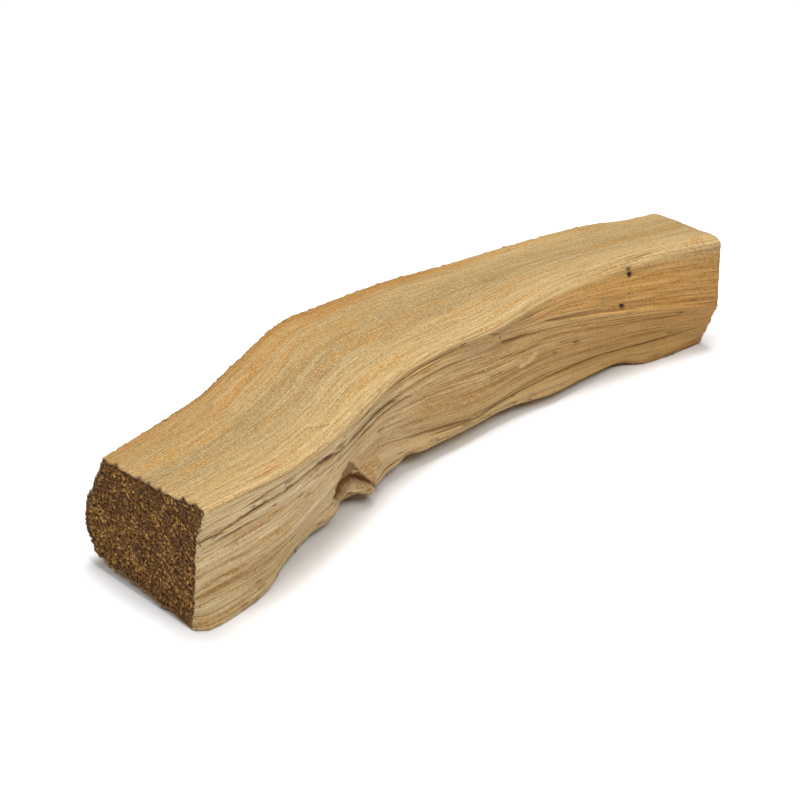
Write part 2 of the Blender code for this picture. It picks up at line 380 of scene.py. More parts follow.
def lineDistance(spot, line):  # (distance from a bent line, place along it from 0 to 1)
    best = (1e9, 0.0)
    for i in range(len(line) - 1):
        a, b = Vector(line[i]), Vector(line[i + 1])
        t = min(max((spot - a).dot(b - a) / (b - a).length_squared, 0.0), 1.0)
        distance = (spot - a.lerp(b, t)).length
        if distance < best[0]:
            best = (distance, (i + t) / (len(line) - 1))
    return best


def featureAt(features, x, across, place):  # the strongest of the listed lines here, 0 to 1
    found = 0.0
    for feature in features:
        line = feature["line"]
        wide = feature["width"]
        if not onSide(feature["side"], place) or not line[0][0] - wide < x < line[-1][0] + wide:
            continue
        distance, along = lineDistance(Vector((x, across)), line)
        taper = min(min(along, 1 - along) * 8 + 0.25, 1.0)
        found = max(found, feature["strength"] * (1 - smoothStep(0.0, wide * taper, distance)))
    return found


def fibre(x, spot, size, shift=0.0):  # noise drawn out along the grain
    length, width = size
    return noise.noise(Vector((spot[0] / width, spot[1] / width, x / length + shift)))


def coarseRidges(x, turn, perimeter):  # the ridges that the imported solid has
    radius = perimeter / (2 * math.pi)
    across = Vector((0, math.cos(2 * math.pi * turn), math.sin(2 * math.pi * turn))) * radius
    length, width = ridgeSet["coarse"]
    coarse = noise.noise(across / width + Vector((x / length, 0, 0)))
    length, width = ridgeSet["coarseFine"]
    fine = noise.noise(across / width + Vector((x / length + ridgeSet["coarseFineShift"], 0, 0)))
    return coarse + ridgeSet["coarseFineShare"] * fine


def splitRelief(x, across, place, spot, perimeter):  # (how far out the split wood stands, how cracked it is, which also sets the painted shade in the cracks)
    rough = edgeValue("rough", place)
    fine = fibre(x, spot, ridgeSet["fine"]) + ridgeSet["hairShare"] * fibre(x, spot, ridgeSet["hair"], 17)
    terrace = fibre(x, spot, ridgeSet["terrace"], 7) * ridgeSet["terraceCount"]
    level = math.floor(terrace) + smoothStep(0.4, 0.6, terrace - math.floor(terrace))
    steps = rough * ridgeSet["terraceStep"] * (level - terrace * 0.5)
    calm = 1 - ridgeSet["calm"] * smoothStep(*ridgeSet["calmFrom"], x)
    out = edgeValue("coarse", place) * coarseRidges(x, solidTurn(place), perimeter)
    out += calm * (edgeValue("fine", place) * fine + steps)
    crack = 1 - smoothStep(0.0, ridgeSet["crackWidth"], abs(fibre(x, spot, ridgeSet["crack"], 3)))
    crack *= smoothStep(*ridgeSet["crackOpens"], fibre(x, spot, ridgeSet["crackGap"], 11)) * rough
    crack *= 1 - ridgeSet["crackFades"] * smoothStep(*ridgeSet["crackFadesFrom"], x) * onSide("front", place)
    crack = max(crack, featureAt(splitLines, x, across, place))
    return out - ridgeSet["crackDepth"] * crack, crack


# Dents (depth above zero), and flaps or ripples that stand out (below zero), in mm. Across is z on the
# front and y on the top.
dents = {
    "front": [
        {"x": -13.6, "across": 4.8, "halfX": 1.3, "halfAcross": 2.0, "depth": -0.5},
        {"x": -13.7, "across": 1.4, "halfX": 1.0, "halfAcross": 1.5, "depth": 0.7},
        {"x": 13.0, "across": 13.6, "halfX": 3.0, "halfAcross": 1.2, "depth": 0.8},
        {"x": -6.0, "across": 2.4, "halfX": 1.6, "halfAcross": 1.2, "depth": 0.7},
        {"x": 16.6, "across": 8.7, "halfX": 1.5, "halfAcross": 0.5, "depth": -0.5},
    ],
    "top": [
        {"x": -21.6, "across": 1.0, "halfX": 0.8, "halfAcross": 2.2, "depth": 0.22},
        {"x": -20.0, "across": 1.4, "halfX": 0.8, "halfAcross": 2.6, "depth": -0.25},
        {"x": -26.0, "across": 6.0, "halfX": 1.0, "halfAcross": 1.6, "depth": -0.2},
        {"x": -28.3, "across": 5.4, "halfX": 1.0, "halfAcross": 1.6, "depth": 0.18},
        {"x": -31.0, "across": 3.0, "halfX": 2.4, "halfAcross": 3.4, "depth": 0.3},
        {"x": 6.0, "across": 9.0, "halfX": 1.6, "halfAcross": 1.6, "depth": -0.15},
    ],
}


def dentDepth(side, x, across):
    depth = 0.0
    for dent in dents[side]:
        awayX = (x - dent["x"]) / dent["halfX"]
        awayAcross = (across - dent["across"]) / dent["halfAcross"]
        depth += dent["depth"] * math.exp(-(awayX**2 + awayAcross**2))
    return depth


# The torn knot on the front as (x, z) in mm: the sharp rim over its hollow, the crack across it, which is
# painted dark as shade, and the lower edge of the flap that curls out below the crack.
knotSet = {
    "rim": [
        (-22.9, 5.4), (-21.8, 7.2), (-20.6, 8.4), (-19.3, 9.0), (-18.1, 7.8), (-16.4, 5.4), (-14.2, 2.9),
    ],
    "crack": [(-22.6, 5.2), (-20.9, 5.8), (-19.4, 5.6), (-18.0, 5.2), (-16.5, 4.3), (-14.3, 2.8)],
    "flap": [
        (-22.9, 4.4), (-21.2, 4.2), (-20.1, 3.8), (-18.5, 3.0), (-17.0, 2.3), (-15.5, 1.8), (-13.9, 1.9),
    ],
    "wobble": 0.5,
    "closes": (-14.0, -16.2),  # x where the hollow starts at its far end and where it is fully deep
    "rimStep": 0.36,  # how deep the step below the rim is, and how wide its edge and its bare edge are
    "rimEdge": 0.3,
    "bareEdge": 0.2,
    "depth": 0.6,  # how much deeper the hollow gets towards the crack, and how late it does so
    "hollow": 3.5,
    "tornRelief": 0.35,
    # how strong the painted shade in the crack is, and where it fades from the crack's middle
    "crackShade": 0.9,
    "crackReach": (0.06, 0.24),  # mm from the crack's middle, where it starts to fade and is gone
    "slot": 0.25,  # how far from the crack the flap's inner edge has risen
    "flapHeight": 0.8,
    "flapLeft": 0.3,  # the share of its height that the flap keeps where the hollow closes
    "flapRound": 0.75,
    "flapBand": 0.25,  # how strong the waves across the flap are, and how close
    "flapBands": 10.0,
    "apex": (-19.3, 9.6),  # where the grain of the torn wood fans out from
    "fan": 3.0,  # mm of grain for each radian of the fan
}


def isInside(outline, spot):
    within = False
    for i, (ax, ay) in enumerate(outline):
        bx, by = outline[i - 1]
        if (ay > spot.y) != (by > spot.y) and spot.x < (bx - ax) * (spot.y - ay) / (by - ay) + ax:
            within = not within
    return within


def knotRelief(x, z):  # (how far the torn knot presses in, how much is bare torn wood, the crack's painted shade)
    spot = Vector((x, z)) + Vector((0, knotSet["wobble"])) * noise.noise(Vector((x / 1.1, 2.0, 7.0)))
    crack = knotSet["crack"]
    closed = smoothStep(*knotSet["closes"], x)
    fromCrack = lineDistance(spot, crack)[0]
    dark = knotSet["crackShade"] * closed * (1 - smoothStep(*knotSet["crackReach"], fromCrack))
    if isInside(knotSet["rim"] + crack[::-1], spot):
        fromRim = lineDistance(spot, knotSet["rim"])[0]
        share = fromRim / (fromRim + fromCrack)
        step = knotSet["rimStep"] * smoothStep(0.0, knotSet["rimEdge"], fromRim)
        step += knotSet["tornRelief"] * noise.noise(Vector((x / 0.5, z / 0.8, 3.0))) * min(fromRim, 1.0)
        bare = smoothStep(0.0, knotSet["bareEdge"], fromRim) * (0.9 + 0.1 * share)
        return (step + knotSet["depth"] * share ** knotSet["hollow"]) * closed, bare, dark
    if isInside(crack + knotSet["flap"][::-1], spot):
        fromFlap = lineDistance(spot, knotSet["flap"])[0]
        share = fromCrack / (fromCrack + fromFlap)
        inSlot = 1 - smoothStep(0.0, knotSet["slot"], fromCrack)
        deep = (knotSet["rimStep"] + knotSet["depth"]) * inSlot * closed
        waves = knotSet["flapBands"] * share + 2 * noise.noise(Vector((x / 1.5, 4.0, 0.0)))
        band = knotSet["flapBand"] * math.sin(waves)
        arch = math.sin(math.pi * share ** knotSet["flapRound"])
        left = knotSet["flapLeft"] + (1 - knotSet["flapLeft"]) * closed
        rise = knotSet["flapHeight"] * (arch + band * share) * left
        return deep - rise, 0.5 * (1 - share) + 0.4 * max(band, 0.0), dark
    return 0.0, 0.0, 0.0


# Holes that beetles bored in the front, painted dark inside as their shade: nearly black in the two
# wide ones, and brown in the narrow ones.
wormSet = {
    "depth": 0.9,
    "wall": (0.6, 1.2),  # where a hole's wall starts and ends, in radii
    # how strong the painted shade in a hole is, and how far out it stays full
    "dark": 0.9,
    "darkWhole": 0.7,  # in radii
    "squeeze": 0.2,  # of the depth, so that the painted shade reaches all the way down a hole
    "holes": [
        {"place": (36.1, -6.2, 15.3), "radius": 0.5, "shade": "#1c100a"},
        {"place": (36.2, -6.0, 16.1), "radius": 0.28, "shade": "#6b4526"},
        {"place": (33.4, -7.9, 11.7), "radius": 0.42, "shade": "#1c100a"},
        {"place": (34.8, -7.5, 13.2), "radius": 0.18, "shade": "#6b4526"},
    ],
}


def frontRelief(x, z):  # (how far in the front is pressed, bare torn wood, the crack's painted shade, worm holes)
    knot, torn, slot = knotRelief(x, z)
    hole = 0.0
    for worm in wormSet["holes"]:
        reach = math.hypot(x - worm["place"][0], z - worm["place"][2]) / worm["radius"]
        hole += wormSet["depth"] * (1 - smoothStep(*wormSet["wall"], reach))
    return knot + dentDepth("front", x, z), torn, slot, hole


# The rims, in mm: the top's back one, which is a little uneven, the sawn ones with burr and teeth that
# the saw tore up, and the near end's lower one, which is broken off and painted dark as its shade.
rimSet = {
    "unevenLength": 0.8,
    "uneven": 0.2,
    "unevenWidth": 0.12,  # in long edges
    "burr": 0.3,
    "burrWidth": 0.3,
    "burrReach": (0.1, 0.9),  # in from the end, where it starts to fade and is gone
    "farBurr": 0.3,  # the far end's share of it
    "teeth": [  # along the near end's top rim, as (y, height, half width)
        (1.4, 0.35, 0.5), (-3.2, 0.4, 0.4), (-4.9, 0.3, 0.35), (-7.0, 0.3, 0.4), (-11.5, 0.6, 0.5),
        (-13.7, 0.5, 0.6),
    ],
    "teethReach": (0.1, 0.7),
    "breakFrom": (5.0, 5.6),  # in long edges
    "breakTo": (7.0, 7.6),
    "breakReach": (0.2, 1.5),
    "breakDepth": 0.7,
    "breakWidth": 0.9,  # of its single bites
    # painted shade on the broken rim
    "breakShade": 1.5,
}


def rimRelief(x, y, place, spot):  # (how far the rims stand out here, how much of it is a torn tooth)
    uneven = noise.noise(Vector((x / rimSet["unevenLength"], 5.0, 0.0)))
    out = rimSet["uneven"] * uneven * math.exp(-((fromTopBack(place) / rimSet["unevenWidth"]) ** 2))
    burr = noise.noise(Vector((spot[0], spot[1], 0.0)) / rimSet["burrWidth"] + Vector((0, 0, x)))
    burr *= 1 - smoothStep(*rimSet["burrReach"], halfLength - abs(x))
    out += rimSet["burr"] * burr * (1.0 if x < 0 else rimSet["farBurr"])
    torn = 0.0
    if x < 0 and onSide("top", place):
        reach = 1 - smoothStep(*rimSet["teethReach"], x + halfLength)
        for toothY, height, wide in rimSet["teeth"]:
            tooth = math.exp(-(((y - toothY) / wide) ** 2)) * reach
            out += height * tooth
            torn = max(torn, tooth)
    return out, torn


def brokenFoot(x, place):  # 0 to 1, how far the lower rim of the near end is broken off here
    under = smoothStep(*rimSet["breakFrom"], place) * (1 - smoothStep(*rimSet["breakTo"], place))
    return under * (1 - smoothStep(*rimSet["breakReach"], x + halfLength))


def padWeight(x, place):  # 0 on the flat pads under both ends
    names = list(longEdges)
    if not names.index("frontFoot") < place < names.index("keel") + 0.5:
        return 1.0
    start, fade = stickSet["padStart"], stickSet["padFade"]
    return min(max((start + fade - abs(x)) / fade, 0.0), 1.0)


def endInset(x):  # how far the rounded rims draw in
    for radius, depth in ((stickSet["nearRound"], x + halfLength), (stickSet["farRound"], halfLength - x)):
        if depth < radius:
            return radius - math.sqrt(max(radius**2 - (radius - depth) ** 2, 0.0))
    return 0.0


# Where the split wood turns from straw-coloured to ochre: along the front, and on the top's back rim.
ochreSet = {
    "frontFrom": (1.9, 2.4),  # in long edges
    "frontTo": (5.5, 6.5),
    "steps": [(-26.0, 4.0, 0.55), (4.0, 45.0, 0.45)],  # x from, x to, and the share that it gains
    "rim": 0.75,
    "rimWidth": 0.35,  # in long edges
    "rimFades": (5.0, 30.0),  # x
}


def ochreAt(x, place):
    front = smoothStep(*ochreSet["frontFrom"], place) * (1 - smoothStep(*ochreSet["frontTo"], place))
    along = sum(share * smoothStep(start, end, x) for start, end, share in ochreSet["steps"])
    rim = ochreSet["rim"] * math.exp(-((fromTopBack(place) / ochreSet["rimWidth"]) ** 2))
    return max(front * along, rim * (1 - smoothStep(*ochreSet["rimFades"], x)))


def stickRing(x, places, spots):  # [(y, z, marks and painted shade, tints and painted sheen, how rough)] round the stick at x, in mm
    base = sectionRing(x)
    count = len(base)
    perimeter = sum((base[j] - base[j - 1]).length for j in range(count))
    outs, holes, marksAndShade, tintsAndSheen = [], [], [], []
    for j, (place, spot) in enumerate(zip(places, spots)):
        y = base[j].x + stickSet["shiftY"]
        across = base[j].y if onSide("front", place) else y
        out, crack = splitRelief(x, across, place, spot, perimeter)
        if onSide("front", place):
            pressed, torn, slot, hole = frontRelief(x, across)
        else:
            pressed = dentDepth("top", x, across) * onSide("top", place)
            torn = slot = hole = 0.0
        rim, tooth = rimRelief(x, y, place, spot)
        broken = brokenFoot(x, place)
        bites = 1 + noise.noise(Vector((spot[0], spot[1], 3.0)) / rimSet["breakWidth"])
        out = (out - pressed + rim) * padWeight(x, place) - endInset(x)
        outs.append(out - rimSet["breakDepth"] * bites * broken)
        holes.append(hole)
        # pale torn wood and painted sheen, then orange stains
        tint = [featureAt(tintAndSheenLines[kind], x, across, place) for kind in ("paleAndSheen", "orange")]
        # first mark: painted shade in the cracks and the knot's slot, the torn teeth, and painted shade on
        # the broken rim
        marksAndShade.append((max(crack, slot, tooth, rimSet["breakShade"] * broken), torn * (1 - tint[0])))
        tintsAndSheen.append((*tint, ochreAt(x, place)))
    low, high = [c / mm for c in stickLow], [c / mm for c in stickHigh]
    ring = []
    reach = stickSet["cavityReach"]
    for j in range(count):
        around = [outs[(j + k) % count] for k in range(-reach, reach + 1)]
        # how far the point lies below its neighbours, which the material paints as shade in grooves and as
        # light on crests
        grooveShading = (sum(around) / len(around) - outs[j]) / stickSet["cavityDepth"]
        along = (base[(j + 2) % count] - base[j - 2]).normalized()
        point = base[j] + Vector((along.y, -along.x)) * (outs[j] - holes[j])
        y = min(max(point.x + stickSet["shiftY"], low[1]), high[1])
        z = min(max(point.y, 0.0), high[2])
        ring.append((y, z, (marksAndShade[j][0], grooveShading, marksAndShade[j][1]), tintsAndSheen[j], edgeValue("rough", places[j])))
    return ring


def makeBlank():  # a cube cut into a fine grid of quads: columns along X, and a grid over both ends
    bm = bmesh.new()
    bmesh.ops.create_cube(bm, size=2.0)

    def runsAlong(edge):
        return abs(edge.verts[0].co.x - edge.verts[1].co.x) > 1

    across = [edge for edge in bm.edges if not runsAlong(edge)]
    bmesh.ops.subdivide_edges(bm, edges=across, cuts=stickSet["cellsAcross"] - 1, use_grid_fill=True)
    lengthwise = [edge for edge in bm.edges if runsAlong(edge)]
    bmesh.ops.subdivide_edges(bm, edges=lengthwise, cuts=stickSet["cellsAlong"] - 1, use_grid_fill=True)
    return bm


def columnOf(y, z):  # the ring index of a side vertex of the blank, from its grid steps across
    n = stickSet["cellsAcross"]
    if z == n:
        return n - y
    if y == 0:
        return n + (n - z)
    if z == 0:
        return 2 * n + y
    return 3 * n + z


def endPoint(ring, y, z):  # a point inside the ring, blended from its four sides
    n = stickSet["cellsAcross"]
    u, v = y / n, z / n
    low, high = Vector(ring[columnOf(y, 0)][:2]), Vector(ring[columnOf(y, n)][:2])
    front, back = Vector(ring[columnOf(0, z)][:2]), Vector(ring[columnOf(n, z) % len(ring)][:2])
    corners = [Vector(ring[columnOf(a, b) % len(ring)][:2]) for a, b in ((0, 0), (n, 0), (0, n), (n, n))]
    flat = low * (1 - v) + high * v + front * (1 - u) + back * u
    flat -= corners[0] * (1 - u) * (1 - v) + corners[1] * u * (1 - v)
    flat -= corners[2] * (1 - u) * v + corners[3] * u * v
    return flat


# A sawn end, in mm: torn pits lie back between its bundles of fibres, which run on a slant, and it is
# smoother and paler in a band along its front side and round the front foot.
sawnSet = {
    "back": 0.22,  # how far the pits lie back, and how much deeper the torn ones are
    "relief": 0.3,
    "rimCells": 2,  # over which the relief grows from the rim
    "grains": (0.62, 0.36),  # along the slant, and across it
    "grainShare": 0.8,
    "clumps": (1.5, 0.9),
    "clumpShare": 0.5,
    "bandY": -13.6,
    "bandWobble": 0.35,
    "bandWave": 1.2,
    "bandEdge": (0.2, 1.2),
    "bandBulge": 0.05,
    "bandMiddle": 8.0,
    "band": 0.4,
    "bandSmooth": 0.7,
    "foot": (-12.2, 0.6),  # (y, z)
    "footEdge": (0.6, 2.6),
    "footBand": 0.8,
}


def sawnRelief(point):  # 0 to 1, how far the sawn end is torn out between its fibre bundles
    along = (point.x + point.y) / math.sqrt(2)
    across = (point.x - point.y) / math.sqrt(2)
    grains = noise.noise(Vector((along / sawnSet["grains"][0], across / sawnSet["grains"][1], 5.0)))
    clumps = noise.noise(Vector((along / sawnSet["clumps"][0], across / sawnSet["clumps"][1], 9.0)))
    return min(max(0.5 + sawnSet["grainShare"] * grains + sawnSet["clumpShare"] * clumps, 0.0), 1.0)


def sawnBand(point):  # 0 to 1, the smoother paler part of a sawn end along its front side
    wobble = sawnSet["bandWobble"] * noise.noise(Vector((0, point.y / sawnSet["bandWave"], 1.0)))
    bulge = sawnSet["bandBulge"] * abs(point.y - sawnSet["bandMiddle"])
    side = 1 - smoothStep(*sawnSet["bandEdge"], point.x - sawnSet["bandY"] - wobble + bulge)
    foot = 1 - smoothStep(*sawnSet["footEdge"], (point - Vector(sawnSet["foot"])).length)
    return max(sawnSet["band"] * side, sawnSet["footBand"] * foot)


def addPiece(bm, name):  # the finished piece's object, at the origin
    mesh = bpy.data.meshes.new(name)
    bm.to_mesh(mesh)
    bm.free()
    piece = bpy.data.objects.new(name, mesh)
    bpy.context.scene.collection.objects.link(piece)
    return piece


def makeStick():
    places = ringPlaces()
    count = len(places)
    radius = stickSet["girth"] / (2 * math.pi)
    turns = [2 * math.pi * j / count for j in range(count)]
    spots = [(math.cos(turn) * radius, math.sin(turn) * radius) for turn in turns]
    stations = stationList()
    rings = [stickRing(x, places, spots) for x in stations]
    print("rings worked out:", len(rings), "of", count, "points")
    bm = makeBlank()
    print("blank cut into", len(bm.faces), "quads")
    grain = bm.verts.layers.float_vector.new("grain")
    # marks: cracks with their painted shade, painted shading of grooves and crests, and bare torn wood;
    # on the sawn ends, the pale band and the torn depth that is painted as shade in the pits
    marksAndShade = bm.verts.layers.float_vector.new("marksAndShade")
    # tints: pale torn wood with painted sheen, orange stains, and the ochre share
    tintsAndSheen = bm.verts.layers.float_vector.new("tintsAndSheen")
    split = bm.verts.layers.float.new("split")
    n, along = stickSet["cellsAcross"], stickSet["cellsAlong"]
    for vert in bm.verts:
        i = round((vert.co.x + 1) / 2 * along)
        y, z = round((vert.co.y + 1) / 2 * n), round((vert.co.z + 1) / 2 * n)
        x = stations[i]
        if y in (0, n) or z in (0, n):
            j = columnOf(y, z) % count
            py, pz, vert[marksAndShade], vert[tintsAndSheen], vert[split] = rings[i][j]
            vert.co = Vector((x, py, pz)) * mm
            vert[grain] = Vector((spots[j][0], spots[j][1], x)) * mm
            if vert[marksAndShade].z > 0.05:  # bare torn wood of the knot
                fromApex = Vector((x, pz)) - Vector(knotSet["apex"])
                vert[grain] = Vector((knotSet["fan"] * math.atan2(*fromApex), 0, fromApex.length)) * mm
        else:
            flat = endPoint(rings[i], y, z)
            inside = min(min(y, z, n - y, n - z) / sawnSet["rimCells"], 1.0)
            band = sawnBand(flat)
            torn = sawnRelief(flat) * inside * (1 - sawnSet["bandSmooth"] * band)
            depth = sawnSet["back"] * inside * (1 - band) + sawnSet["relief"] * torn
            vert.co = Vector((x - math.copysign(depth, x), flat.x, flat.y)) * mm
            vert[grain] = Vector((0, 0, x)) * mm
            # the pale band, and how far the wood is torn out, which the sawn material paints as shade in the
            # pits
            vert[marksAndShade] = Vector((band, torn, 0))
    for face in bm.faces:
        onEnd = all(abs(abs(vert.co.x) / mm - halfLength) < stickSet["endDepth"] for vert in face.verts)
        face.material_index = 1 if onEnd and abs(face.normal.x) > 0.5 else 0
        face.smooth = True
    bmesh.ops.recalc_face_normals(bm, faces=bm.faces)
    return addPiece(bm, "splitStick"), rings, stations, places


def addNode(tree, kind, settings, links=None):  # settings name the node's inputs or its own properties
    node = tree.nodes.new(kind)
    for name, value in settings.items():
        if isinstance(name, int) or name in node.inputs:
            node.inputs[name].default_value = value
        else:
            setattr(node, name, value)
    for name, source in (links or {}).items():
        tree.links.new(source, node.inputs[name])
    return node


def addPatterns(tree, vector, patterns):  # noise by name, from its size each way in mm and its detail
    found = {}
    for name, (*size, detail) in patterns.items():
        scale = [1 / (reach * mm) for reach in size]
        stretch = addNode(tree, "ShaderNodeMapping", {"Scale": scale}, {"Vector": vector})
        drawn = {"Vector": stretch.outputs["Vector"]}
        pattern = addNode(tree, "ShaderNodeTexNoise", {"Scale": 1.0, "Detail": detail}, drawn)
        found[name] = pattern.outputs["Fac"]
    return found


def addLayers(tree, colour, layers, sources):  # each layer's colour laid over the one before it
    for name, low, high, strength, hexColour in layers:
        reach = {"From Min": low, "From Max": high, "To Max": strength}
        mask = addNode(tree, "ShaderNodeMapRange", reach, {"Value": sources[name]})
        settings = {"data_type": "RGBA", 7: toLinear(hexColour)}  # 6 and 7 are the two colours of a mix
        links = {"Factor": mask.outputs["Result"]}
        if isinstance(colour, str):
            settings[6] = toLinear(colour)
        else:
            links[6] = colour
        colour = addNode(tree, "ShaderNodeMix", settings, links).outputs[2]
    return colour


# The split face, where fibres tore apart along the grain. It gives the eye tan wood drawn out in fine
# lines, with painted highlight on the crests and painted shade in the grooves, sandy pores and orange resin.
splitWood = {
    "base": "#836b45",
    "ochre": "#dcc294",  # multiplied in where the wood is ochre
    "roughness": 0.65,
    "specular": 0.35,
    "patterns": {  # width across the grain both ways and length along it, in mm, and detail
        "bands": (3.2, 3.2, 60.0, 2.0),
        "streaks": (0.7, 0.7, 30.0, 3.0),
        "lines": (0.22, 0.22, 30.0, 2.0),
        "hairs": (0.14, 0.14, 7.0, 2.0),
        "pores": (0.2, 0.2, 0.36, 1.0),
        "resin": (2.6, 2.6, 26.0, 2.0),
        "beads": (0.34, 0.34, 0.5, 2.0),
        "amber": (0.3, 0.3, 12.0, 2.0),
        "glints": (0.18, 0.18, 6.0, 2.0),
    },
    "lined": {"From Min": 0.25, "From Max": 0.85},  # how rough the split is where its lines show clearly
    "calmed": {"To Min": 1.0, "To Max": 0.5},  # how clear they are from straw-coloured to ochre wood
    "resin": {"From Min": 0.55, "From Max": 0.72},
    "beads": {"From Min": 0.42, "From Max": 0.56, "To Min": 0.1},
    "bump": {"Strength": 0.5, "Distance": 0.1 * mm},
}
# what it follows, where that starts and is full, how strong it is, and the colour that it brings
splitLayers = [
    ("bands", 0.4, 0.7, 0.45, "#9a7c4f"),
    ("streaks", 0.5, 0.64, 0.35, "#86683a"),
    ("streaks", 0.48, 0.34, 0.4, "#a89264"),
    # painted light: lifts the rough split sides, with a warm cast, towards the brightness of the top
    ("front", 0.0, 1.0, 0.85, "#fcd99b"),
    ("splitLines", 0.52, 0.6, 0.75, "#73532a"),
    ("splitLines", 0.48, 0.4, 0.85, "#d2bb8e"),
    ("splitAmber", 0.5, 0.57, 0.64, "#b07b32"),
    # painted highlights: pale glints along the fibres, clearest where the split is rough
    ("splitGlints", 0.52, 0.59, 0.7, "#ecdcb4"),
    ("hairs", 0.5, 0.64, 0.52, "#6e542a"),
    ("hairs", 0.46, 0.32, 0.45, "#b8a379"),
    ("oiled", 0.0, 1.0, 0.8, "#ad761a"),
    # pale torn wood and painted sheen, broken up by the hairs
    ("paleAndSheenStreaks", 0.28, 0.6, 0.9, "#decba0"),
    ("pores", 0.54, 0.66, 0.4, "#7a5a2c"),
    ("pores", 0.46, 0.34, 0.42, "#c8b184"),
    # painted shade in the grooves, and painted highlight on the crests
    ("grooveShading", 0.3, 1.6, 0.5, "#754f22"),
    ("grooveShading", -0.2, -1.2, 0.5, "#c8b184"),
    ("torn", 0.0, 1.0, 0.95, "#7d5624"),
    # painted shade in the cracks, the crease under the ledge, the knot's slot and the broken lower rim; it
    # also darkens the torn teeth
    ("crack", 0.2, 0.95, 0.85, "#5c3a18"),
]


def wireSplitWood():
    material = bpy.data.materials.new("splitHeartwood")
    material.use_nodes = True
    tree = material.node_tree
    shader = tree.nodes["Principled BSDF"]
    shader.inputs["Roughness"].default_value = splitWood["roughness"]
    shader.inputs["Specular IOR Level"].default_value = splitWood["specular"]
    grain = addNode(tree, "ShaderNodeAttribute", {"attribute_name": "grain"})
    split = addNode(tree, "ShaderNodeAttribute", {"attribute_name": "split"})
    sources = addPatterns(tree, grain.outputs["Vector"], splitWood["patterns"])
    # how rough the split is, which sets how clear the lines are and where the painted light lifts the sides
    sources["front"] = split.outputs["Fac"]
    for layer, names in (("marksAndShade", ("crack", "grooveShading", "torn")), ("tintsAndSheen", ("paleAndSheen", "orange", "ochre"))):
        values = addNode(tree, "ShaderNodeAttribute", {"attribute_name": layer})
        apart = addNode(tree, "ShaderNodeSeparateXYZ", {}, {"Vector": values.outputs["Vector"]})
        for name, axis in zip(names, "XYZ"):
            sources[name] = apart.outputs[axis]

    lined = addNode(tree, "ShaderNodeMapRange", splitWood["lined"], {"Value": sources["front"]})
    calmed = addNode(tree, "ShaderNodeMapRange", splitWood["calmed"], {"Value": sources["ochre"]})
    both = {0: lined.outputs["Result"], 1: calmed.outputs["Result"]}
    clear = addNode(tree, "ShaderNodeMath", {"operation": "MULTIPLY"}, both)
    for name, pattern in (("splitLines", "lines"), ("splitAmber", "amber"), ("splitGlints", "glints")):
        shown = {"Factor": clear.outputs[0], 3: sources[pattern]}  # 2 and 3 are the two numbers of a mix
        sources[name] = addNode(tree, "ShaderNodeMix", {2: 0.5}, shown).outputs[0]

    resin = addNode(tree, "ShaderNodeMapRange", splitWood["resin"], {"Value": sources["resin"]})
    both = {0: resin.outputs["Result"], 1: sources["orange"]}
    stain = addNode(tree, "ShaderNodeMath", {"operation": "MAXIMUM"}, both)
    beads = addNode(tree, "ShaderNodeMapRange", splitWood["beads"], {"Value": sources["beads"]})
    both = {0: stain.outputs[0], 1: beads.outputs["Result"]}
    sources["oiled"] = addNode(tree, "ShaderNodeMath", {"operation": "MULTIPLY"}, both).outputs[0]
    both = {0: sources["paleAndSheen"], 1: sources["hairs"]}
    sources["paleAndSheenStreaks"] = addNode(tree, "ShaderNodeMath", {"operation": "MULTIPLY"}, both).outputs[0]
    colour = addLayers(tree, splitWood["base"], splitLayers, sources)

    settings = {"data_type": "RGBA", "blend_type": "MULTIPLY", 7: toLinear(splitWood["ochre"])}
    browned = addNode(tree, "ShaderNodeMix", settings, {"Factor": sources["ochre"], 6: colour})
    # the painted shade inside the worm holes
    where = addNode(tree, "ShaderNodeTexCoord", {})
    squeeze = wormSet["squeeze"]
    spot = {"Vector": where.outputs["Object"]}
    flat = addNode(tree, "ShaderNodeMapping", {"Scale": (1, squeeze, 1)}, spot)
    holes = []
    for i, worm in enumerate(wormSet["holes"]):
        x, y, z = worm["place"]
        reach = worm["radius"] * mm
        settings = {"operation": "DISTANCE", 1: (x * mm, squeeze * y * mm, z * mm)}
        gap = addNode(tree, "ShaderNodeVectorMath", settings, {0: flat.outputs[0]})
        sources[f"hole{i}"] = gap.outputs["Value"]
        holes.append((f"hole{i}", reach, wormSet["darkWhole"] * reach, wormSet["dark"], worm["shade"]))
    colour = addLayers(tree, browned.outputs[2], holes, sources)
    tree.links.new(colour, shader.inputs["Base Color"])
    both = {0: sources["pores"], 2: sources["hairs"]}
    relief = addNode(tree, "ShaderNodeMath", {"operation": "MULTIPLY_ADD", 1: 0.5}, both)
    bump = addNode(tree, "ShaderNodeBump", splitWood["bump"], {"Height": relief.outputs[0]})
    tree.links.new(bump.outputs["Normal"], shader.inputs["Normal"])
    return material


# The sawn end, where cut fibre bundles stand up between torn pits, which are painted darker as shade.
# It gives the eye a dark brown, grainy face with ochre and a few straw-coloured specks.
sawnWood = {
    "base": "#563511",
    "roughness": 0.85,
    "slant": -45.0,
    "patterns": {  # depth, length along the slant and width across it, in mm, and detail
        "bundles": (2.0, 0.58, 0.3, 2.0),
        "clumps": (2.0, 2.4, 1.6, 2.0),
        "flecks": (2.0, 0.42, 0.24, 2.0),
    },
    "layers": [
        ("clumps", 0.42, 0.62, 0.5, "#452a0f"),
        ("bundles", 0.5, 0.64, 0.7, "#76501f"),
        ("flecks", 0.62, 0.7, 0.5, "#a1783a"),
        # painted shade in the torn pits between the bundles
        ("relief", 0.55, 1.0, 0.7, "#2c1706"),
        ("band", 0.0, 1.0, 0.8, "#94703f"),
    ],
    "bump": {"Strength": 1.0, "Distance": 0.3 * mm},
}


